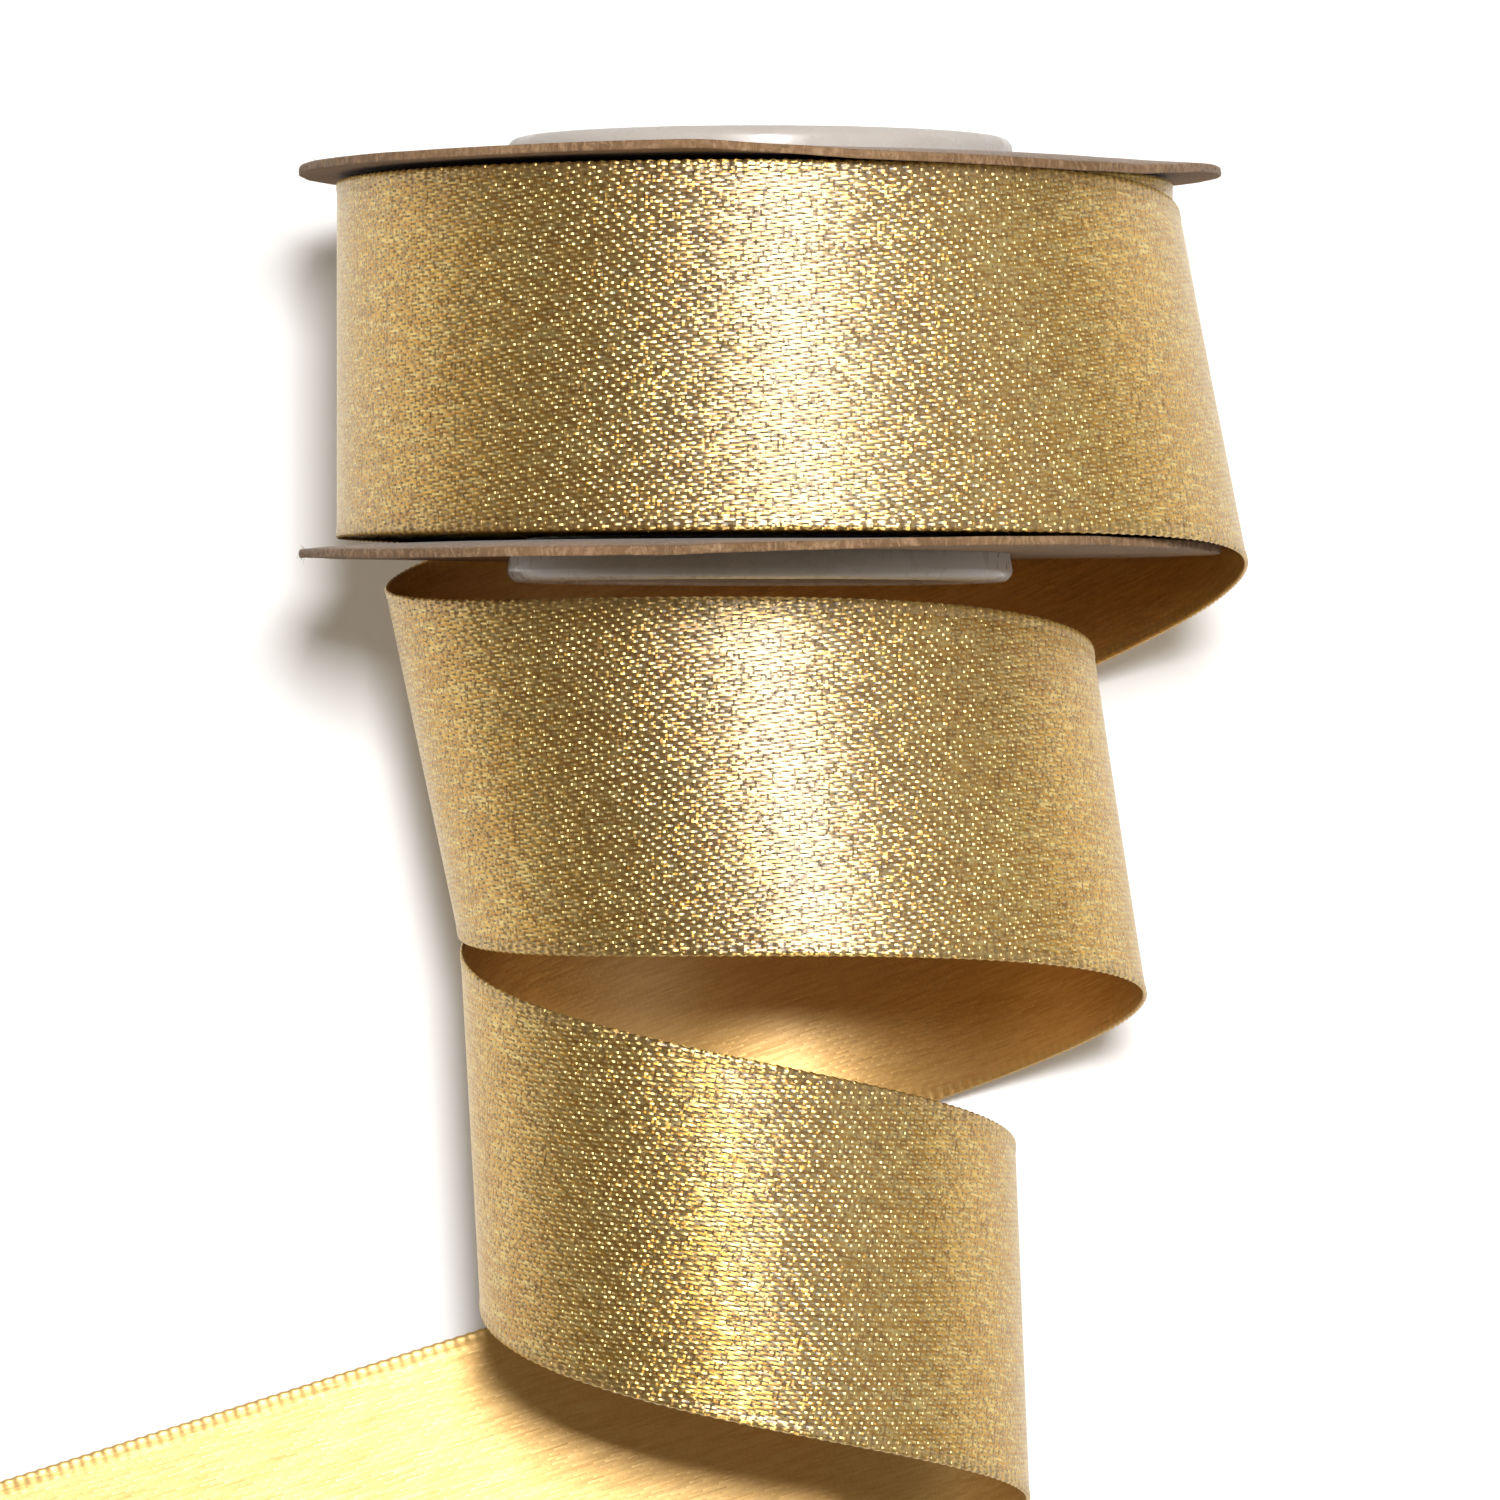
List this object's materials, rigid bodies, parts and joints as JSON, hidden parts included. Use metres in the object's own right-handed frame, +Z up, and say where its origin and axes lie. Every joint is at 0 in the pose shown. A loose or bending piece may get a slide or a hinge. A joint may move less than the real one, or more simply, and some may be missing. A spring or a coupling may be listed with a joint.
{
  "type": "ribbon spool",
  "caption": "Flanged board spool of metallic satin ribbon on a hollow snap core, its loose end coiled over the table beside it.",
  "frame": {"origin": "middle of the core's bore, halfway between the two flanges", "axes": "+Y along the spool's axis towards the end without loose ribbon, +Z up from the table it lies on"},
  "size_m": [0.1118, 0.1276, 0.0652],
  "materials": {
    "board": "matte",
    "core": "satin",
    "ribbon": "satin",
    "tape": "gloss"
  },
  "bodies": {
    "ribbon": {"free_ribbon": "ribbon"},
    "spool": {"upper_flange": "board", "lower_flange": "board", "core_socket_half": "core", "core_plug_half": "core", "wound_ribbon": "ribbon", "end_tape": "tape"}
  },
  "joints": [
    {"name": "spool_spin", "type": "hinge", "parent": "ribbon", "child": "spool", "pos_m": [0, 0, 0], "axis": [0, 1, 0], "continuous": true}
  ]
}
